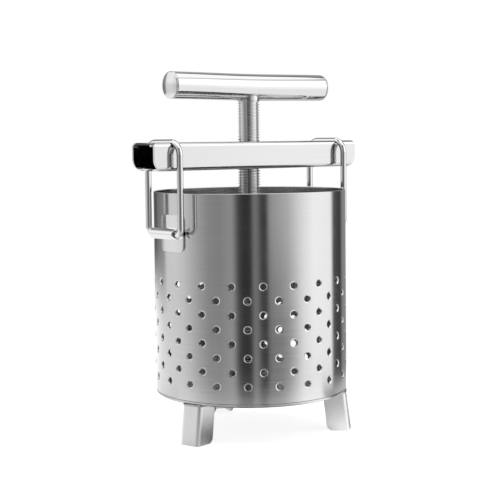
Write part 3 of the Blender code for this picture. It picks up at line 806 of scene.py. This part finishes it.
def make_handle():
    skin = Skin()
    half = HANDLE_HALF_LENGTH
    turn = np.linspace(0, 2 * pi, 96, endpoint=False)
    edge = 0.0004
    for radius, sign in ((HANDLE_RADIUS, 1), (HANDLE_RADIUS - HANDLE_WALL, -1)):
        mouth, shoulder = radius - sign * edge, radius - sign * edge / 3
        stations = [(-half, mouth, -1.0, 0.0), (-half + edge / 3, shoulder, -0.7, 0.7)]
        stations += [(x, radius, 0.0, 1.0) for x in np.linspace(-half + edge, half - edge, 41)]
        stations += [(half - edge / 3, shoulder, 0.7, 0.7), (half, mouth, 1.0, 0.0)]
        points, normals = [], []
        for x, ring, along, out in stations:
            sag = HANDLE_SAG * cos(pi * x / (2 * half)) ** 2
            slope = HANDLE_SAG * pi / (2 * half) * sin(pi * x / half)
            up = np.sin(turn)
            points.append(np.c_[0 * turn + x, ring * np.cos(turn), HANDLE_Z - sag + ring * up])
            lean = along - slope * up * out if along else -sign * slope * up * out
            normals.append(np.c_[lean, sign * out * np.cos(turn), sign * out * up])
        skin.grid(points, normals, wrap=True)
        if sign == 1:
            ends = [points[0], points[-1]]
        else:
            for outer_ring, inner_ring, facing in ((ends[0], points[0], -1), (ends[1], points[-1], 1)):
                flat = np.zeros_like(outer_ring) + np.array([facing, 0, 0])
                skin.grid([outer_ring, inner_ring], [flat, flat], wrap=True)
    grip = skin.build("handle_grip")
    grip.matrix_world = handle_matrix()
    placed("handle_grip", "screw", "handle_steel", handle_steel, "handle_tube")

    sphere = (HANDLE_RADIUS ** 2 + CAP_RISE ** 2) / (2 * CAP_RISE)
    dome_radius = HANDLE_RADIUS - CAP_RIM
    dome = []
    for i in range(13):
        reach = dome_radius * i / 12
        dome.append((reach, CAP_DOME - (sphere - sqrt(sphere ** 2 - reach ** 2))))
    rim_z = dome[-1][1] - CAP_RIM
    dome += [(dome_radius + CAP_RIM * sin(a), rim_z + CAP_RIM * cos(a)) for a in np.radians((25, 45, 65, 90))]
    dome += [(HANDLE_RADIUS, CAP_EDGE), (HANDLE_RADIUS - CAP_EDGE, CAP_GAP)]
    dome += [(HANDLE_RADIUS / 2, CAP_GAP), (0, CAP_GAP)]
    for name, end in (("near", pi), ("far", 0)):
        cap = lathe(f"handle_end_{name}", dome, 96)
        outward = Matrix.Rotation(HANDLE_ANGLE + end, 4, "Z") @ Matrix.Translation((half, 0, HANDLE_Z))
        cap.matrix_world = outward @ Matrix.Rotation(pi / 2, 4, "Y")
        placed(f"handle_end_{name}", "screw", "handle_steel", handle_steel, f"handle_cap_{name}")

    skin = Skin()
    path = []
    centre_z = HANDLE_Z - HANDLE_SAG
    weld_radius = SHANK_RADIUS + 0.0001
    for a in np.linspace(0, 2 * pi, 73):
        across = weld_radius * sin(a)
        path.append((weld_radius * cos(a), across, centre_z - sqrt(HANDLE_RADIUS ** 2 - across ** 2)))
    path = np.array(path)
    along = np.gradient(path, axis=0)
    along[0] = along[-1] = path[1] - path[-2]
    along /= np.linalg.norm(along, axis=1, keepdims=True)
    points, normals = [], []
    ring = np.linspace(0, 2 * pi, 12, endpoint=False)
    for i, (place, way) in enumerate(zip(path, along)):
        out = np.array([place[0], place[1], 0]) / SHANK_RADIUS
        out -= way * (out @ way)
        out /= np.linalg.norm(out)
        other = np.cross(way, out)
        size = HANDLE_BEAD * (1 + 0.12 * sin(i * 2.1))
        spoke = np.cos(ring)[:, None] * out + np.sin(ring)[:, None] * other
        points.append(place + spoke * size)
        normals.append(spoke)
    points[-1] = points[0]
    skin.grid(points, normals, wrap=True)
    bead = skin.build("handle_weld")
    bead.matrix_world = handle_matrix()
    placed("handle_weld", "screw", "thread_steel", weld_steel)


# The pressing plate

PLATE_BOTTOM_Z = 0.0302
PLATE_TOP_Z = 0.0324
BOSS_TOP_Z = 0.0397
RETAINER_BOTTOM_Z = 0.0400
RETAINER_TOP_Z = 0.0422
PLATE_RADIUS = 0.0670
BOSS_RADIUS = 0.0150
BOSS_BORE = 0.0108
WASHER_THICKNESS = 0.0018
SCREW_CIRCLE = 0.0129             # radius on which the retaining screws stand
HEAD_RADIUS = 0.0020
SOCKET_RADIUS = 0.0009
SOCKET_DEPTH = 0.0009


def make_plate():
    top, bottom = PLATE_TOP_Z, PLATE_BOTTOM_Z
    disc = [(0, top), (PLATE_RADIUS, top), (PLATE_RADIUS, bottom), (0, bottom)]
    lathe("press_disc", rounded(disc, 0.0008), 200)
    placed("press_disc", "plate", "plate_steel", plate_steel, "press_plate")

    low = PLATE_TOP_Z + 0.0001
    collar = [(BOSS_BORE, BOSS_TOP_Z), (BOSS_RADIUS, BOSS_TOP_Z), (BOSS_RADIUS, low), (BOSS_BORE, low)]
    lathe("foot_collar", rounded(collar, 0.0007), 128, closed=True)
    placed("foot_collar", "plate", "plate_steel", plate_steel, "plate_boss")

    high = low + WASHER_THICKNESS
    washer = [(0, high), (FOOT_RADIUS, high), (FOOT_RADIUS, low), (0, low)]
    lathe("foot_washer", rounded(washer, 0.0003), 96)
    placed("foot_washer", "plate", "plate_steel", plate_steel, "thrust_washer")

    slot = NECK_RADIUS + 0.00035
    start = asin(slot / BOSS_RADIUS)
    outline = arc(0, 0, BOSS_RADIUS, -180 + start * 180 / pi, 180 - start * 180 / pi, 80)
    outline += arc(0, 0, slot, 90, -90, 28)
    finished("slotted_plate", prism(outline, "z", RETAINER_BOTTOM_Z, RETAINER_TOP_Z), 0.0003)
    placed("slotted_plate", "plate", "plate_steel", plate_steel, "retaining_plate")

    head_low, head_high = RETAINER_TOP_Z + 0.0001, RETAINER_TOP_Z + 0.0019
    for i in range(3):
        a = 2 * pi * i / 3
        profile = [(0, head_high), (HEAD_RADIUS, head_high), (HEAD_RADIUS, head_low), (0, head_low)]
        head = lathe(f"socket_screw_{i + 1}", rounded(profile, 0.0004), 48)
        socket = [(SOCKET_RADIUS * cos(b), SOCKET_RADIUS * sin(b)) for b in np.radians(range(0, 360, 60))]
        cut(head, prism(socket, "z", head_high - SOCKET_DEPTH, head_high + 0.001), "socket")
        head.data.shade_smooth()
        head.data.set_sharp_from_angle(angle=radians(40))
        head.matrix_world = Matrix.Translation((SCREW_CIRCLE * cos(a), SCREW_CIRCLE * sin(a), 0))
        placed(f"socket_screw_{i + 1}", "plate", "fastener_steel", wire_steel, f"retaining_screw_{i + 1}")


make_wall()
make_base()
make_legs()
for side_name in SIDES:
    make_bail(side_name)
    make_strap(side_name)
make_crossbar()
make_screw()
make_handle()
make_plate()


# Camera

level = cos(CAMERA_PITCH)
forward = Vector((sin(CAMERA_HEADING) * level, cos(CAMERA_HEADING) * level, -sin(CAMERA_PITCH)))
level_right = Vector((cos(CAMERA_HEADING), -sin(CAMERA_HEADING), 0))
level_up = level_right.cross(forward)
right = level_right * cos(CAMERA_ROLL) + level_up * sin(CAMERA_ROLL)
up = level_up * cos(CAMERA_ROLL) - level_right * sin(CAMERA_ROLL)
camera = link(bpy.data.objects.new("camera", bpy.data.cameras.new("camera")))
pose = Matrix((right, up, -forward)).transposed().to_4x4()
pose.translation = CAMERA_PLACE
camera.matrix_world = pose
camera.data.lens = CAMERA_LENS
camera.data.sensor_width = 36
camera.data.clip_start = 0.05
scene.camera = camera


# The studio: a white sweep, soft boxes at both sides and above, and dark flags between them

# Degrees anticlockwise from the camera's side of the press, and brightness there
STUDIO = (
    (-180, 0.34), (-165, 0.34), (-160, 0.10), (-152, 0.06), (-142, 0.20), (-125, 0.28), (-118, 0.80),
    (-100, 0.85), (-88, 0.78), (-62, 0.45), (-50, 0.33), (-36, 0.30), (-21, 0.38), (-14, 0.08),
    (-8, 0.035), (1, 0.035), (5, 0.27), (9, 0.20), (13, 0.06), (19, 0.045), (23, 0.42), (45, 0.62),
    (62, 0.98), (80, 1.27), (112, 1.22), (117, 0.10), (137, 0.05), (144, 0.28), (180, 0.34),
)
# The same for the pale sweep that lies behind the press on the left
SWEEP = ((-180, 1.3), (-150, 1.2), (-135, 1.05), (-118, 0.95), (-100, 0.86), (-88, 0.0), (180, 0.0))
# The share of the light that a shadow takes on the floor, on the camera's side
FLOOR_SHADOW = ((-180, 0), (15, 0), (19, 0.55), (36, 0.58), (45, 0.46), (55, 0.28), (66, 0), (180, 0))
LOW_EDGE = (-0.14, -0.075)        # sines of the elevations over which both fade in
# Sine of the elevation, and what it makes of the brightness there
LIFT = ((-1, 1.8), (-0.25, 1.8), (-0.18, 1.0), (0.03, 1.0), (0.14, 1.3), (0.66, 1.3), (0.70, 0.62), (1, 0.62))
FAR_FLOOR = -0.18                 # sine of the elevation below which the far floor is seen
LOWER_LIMIT = 1.05                # and its greatest brightness
TOP_LIGHT_EDGE = (0.757, 0.772)   # sines of the elevations over which the light above begins
TOP_LIGHT = 1.3


class Shading:
    """Adds shader nodes to a node tree. A value is a number or another node's output."""

    def __init__(self, tree):
        self.nodes, self.links = tree.nodes, tree.links

    def math(self, operation, *values):
        node = self.nodes.new("ShaderNodeMath")
        node.operation = operation
        for socket, value in zip(node.inputs, values):
            if isinstance(value, (int, float)):
                socket.default_value = value
            else:
                self.links.new(value, socket)
        return node.outputs[0]

    def ramp(self, position, stops, low, high):
        node = self.nodes.new("ShaderNodeValToRGB")
        self.links.new(position, node.inputs["Fac"])
        elements = node.color_ramp.elements
        while len(elements) > 1:
            elements.remove(elements[-1])
        for i, (place, level) in enumerate(stops):
            share = (place - low) / (high - low)
            stop = elements[0] if i == 0 else elements.new(share)
            stop.position = share
            stop.color = (level, level, level, 1)
        return node.outputs["Color"]

    def fade(self, value, ends, start, end):
        node = self.nodes.new("ShaderNodeMapRange")
        node.interpolation_type = "SMOOTHSTEP"
        node.inputs["From Min"].default_value, node.inputs["From Max"].default_value = ends
        node.inputs["To Min"].default_value, node.inputs["To Max"].default_value = start, end
        self.links.new(value, node.inputs["Value"])
        return node.outputs["Result"]

    def bands(self, x, y, spread, low):
        """The studio's brightness in the direction (x, y), its angle taken spread times as large.

        low is 1 where the sweep and the shadow on the floor are seen as well, and 0 where they aren't.
        """
        turned = self.math("SUBTRACT", self.math("ARCTAN2", y, x), CAMERA_AZIMUTH)
        share = self.math("FRACT", self.math("ADD", self.math("DIVIDE", turned, 2 * pi), 2.5))
        wide = self.math("MULTIPLY_ADD", share, spread, 0.5 - 0.5 * spread)
        sweep_light = self.math("MULTIPLY", self.ramp(wide, SWEEP, -180, 180), low)
        shadow = self.math("MULTIPLY", self.ramp(wide, FLOOR_SHADOW, -180, 180), low)
        light = self.math("MAXIMUM", self.ramp(wide, STUDIO, -180, 180), sweep_light)
        return self.math("MULTIPLY", light, self.math("SUBTRACT", 1, shadow))


def make_world():
    world = bpy.data.worlds.new("studio")
    scene.world = world
    world.use_nodes = True
    nodes, links = world.node_tree.nodes, world.node_tree.links
    nodes.clear()
    shading = Shading(world.node_tree)
    math = shading.math
    direction = nodes.new("ShaderNodeTexCoord").outputs["Generated"]
    split = nodes.new("ShaderNodeSeparateXYZ")
    links.new(direction, split.inputs[0])
    x, y, z = split.outputs
    lift = shading.ramp(math("MULTIPLY_ADD", z, 0.5, 0.5), LIFT, -1, 1)
    lifted = math("MULTIPLY", shading.bands(x, y, 1, shading.fade(z, LOW_EDGE, 1, 0)), lift)
    below = math("LESS_THAN", z, FAR_FLOOR)
    kept = math("MULTIPLY", math("SUBTRACT", 1, below), lifted)
    sides = math("ADD", math("MULTIPLY", below, math("MINIMUM", lifted, LOWER_LIMIT)), kept)
    height = nodes.new("ShaderNodeMapRange")
    height.inputs["From Min"].default_value, height.inputs["From Max"].default_value = TOP_LIGHT_EDGE
    links.new(z, height.inputs["Value"])
    mix = nodes.new("ShaderNodeMix")
    mix.data_type = "RGBA"
    links.new(height.outputs["Result"], mix.inputs["Factor"])
    links.new(sides, mix.inputs["A"])
    mix.inputs["B"].default_value = (TOP_LIGHT, TOP_LIGHT, TOP_LIGHT, 1)
    studio = nodes.new("ShaderNodeBackground")
    links.new(mix.outputs["Result"], studio.inputs["Color"])
    plain = nodes.new("ShaderNodeBackground")
    plain.inputs["Color"].default_value = (1, 1, 1, 1)
    seen = nodes.new("ShaderNodeLightPath")
    choose = nodes.new("ShaderNodeMixShader")
    links.new(seen.outputs["Is Camera Ray"], choose.inputs["Fac"])
    links.new(studio.outputs[0], choose.inputs[1])
    links.new(plain.outputs[0], choose.inputs[2])
    output = nodes.new("ShaderNodeOutputWorld")
    links.new(choose.outputs[0], output.inputs["Surface"])


FLOOR_RADIUS = 0.34
FLOOR_EDGE = (0.20, 0.30)         # it fades into the light round it
# Painted shade: the floor's grey dims it in reflections, as the flags' shadow on it would; FLOOR_FILL lights
# it for the camera
FLOOR_ALBEDO = 0.42
FLOOR_FILL = 0.86                 # what the camera sees of the floor besides the lights on it
FLOOR_GLOSS = 0.74                # the studio's bands on the floor in reflections
GLOSS_INNER = (0.045, 0.070)      # they fade in from under the barrel, a painted shadow there
GLOSS_SPREAD = 1.4                # and are narrower than on the horizon
GLOSS_SHADE = 0.12                # and the floor's own light is weaker there
GLOSS_LOW = 0.7                   # how much of the sweep and the shadow is seen there
SOFTBOX_Z = 1.4
SOFTBOX_SIZE = 1.6
SOFTBOX_POWER = 9


def make_floor():
    circle = np.linspace(0, 2 * pi, 96, endpoint=False)
    mesh = bpy.data.meshes.new("floor")
    outline = [(FLOOR_RADIUS * cos(a), FLOOR_RADIUS * sin(a), 0) for a in circle]
    mesh.from_pydata(outline, [], [list(range(len(outline)))])
    floor = link(bpy.data.objects.new("floor", mesh))
    material = bpy.data.materials.new("floor")
    material.use_nodes = True
    nodes, links = material.node_tree.nodes, material.node_tree.links
    shader = nodes["Principled BSDF"]
    shader.inputs["Base Color"].default_value = (FLOOR_ALBEDO, FLOOR_ALBEDO, FLOOR_ALBEDO, 1)
    shader.inputs["Roughness"].default_value = 0.9
    shader.inputs["Specular IOR Level"].default_value = 0.0
    shading = Shading(material.node_tree)
    math = shading.math
    place = nodes.new("ShaderNodeTexCoord")
    length = nodes.new("ShaderNodeVectorMath")
    length.operation = "LENGTH"
    links.new(place.outputs["Object"], length.inputs[0])
    distance = length.outputs["Value"]
    split = nodes.new("ShaderNodeSeparateXYZ")
    links.new(place.outputs["Object"], split.inputs[0])
    bands = shading.bands(*split.outputs[:2], GLOSS_SPREAD, GLOSS_LOW)
    # Painted reflection: glossy rays see the floor glow with the studio's bands, with painted shadow under
    # the barrel and on the camera's side
    lit = math("MULTIPLY", shading.fade(distance, GLOSS_INNER, 0, FLOOR_GLOSS), bands)
    seen = nodes.new("ShaderNodeLightPath")
    reflected = math("MULTIPLY", seen.outputs["Is Glossy Ray"], math("SUBTRACT", lit, GLOSS_SHADE))
    direct = math("MULTIPLY", seen.outputs["Is Camera Ray"], FLOOR_FILL)
    glow = nodes.new("ShaderNodeEmission")
    links.new(math("ADD", reflected, direct), glow.inputs["Strength"])
    both = nodes.new("ShaderNodeAddShader")
    links.new(shader.outputs[0], both.inputs[0])
    links.new(glow.outputs[0], both.inputs[1])
    clear = nodes.new("ShaderNodeBsdfTransparent")
    mixed = nodes.new("ShaderNodeMixShader")
    links.new(shading.fade(distance, FLOOR_EDGE, 0, 1), mixed.inputs["Fac"])
    links.new(both.outputs[0], mixed.inputs[1])
    links.new(clear.outputs[0], mixed.inputs[2])
    links.new(mixed.outputs[0], nodes["Material Output"].inputs["Surface"])
    mesh.materials.append(material)


make_world()
make_floor()
key = link(bpy.data.objects.new("top_softbox", bpy.data.lights.new("top_softbox", "AREA")))
key.location = (0, 0, SOFTBOX_Z)
key.data.size = SOFTBOX_SIZE
key.data.energy = SOFTBOX_POWER
key.visible_glossy = False
scene.view_settings.view_transform = "Standard"
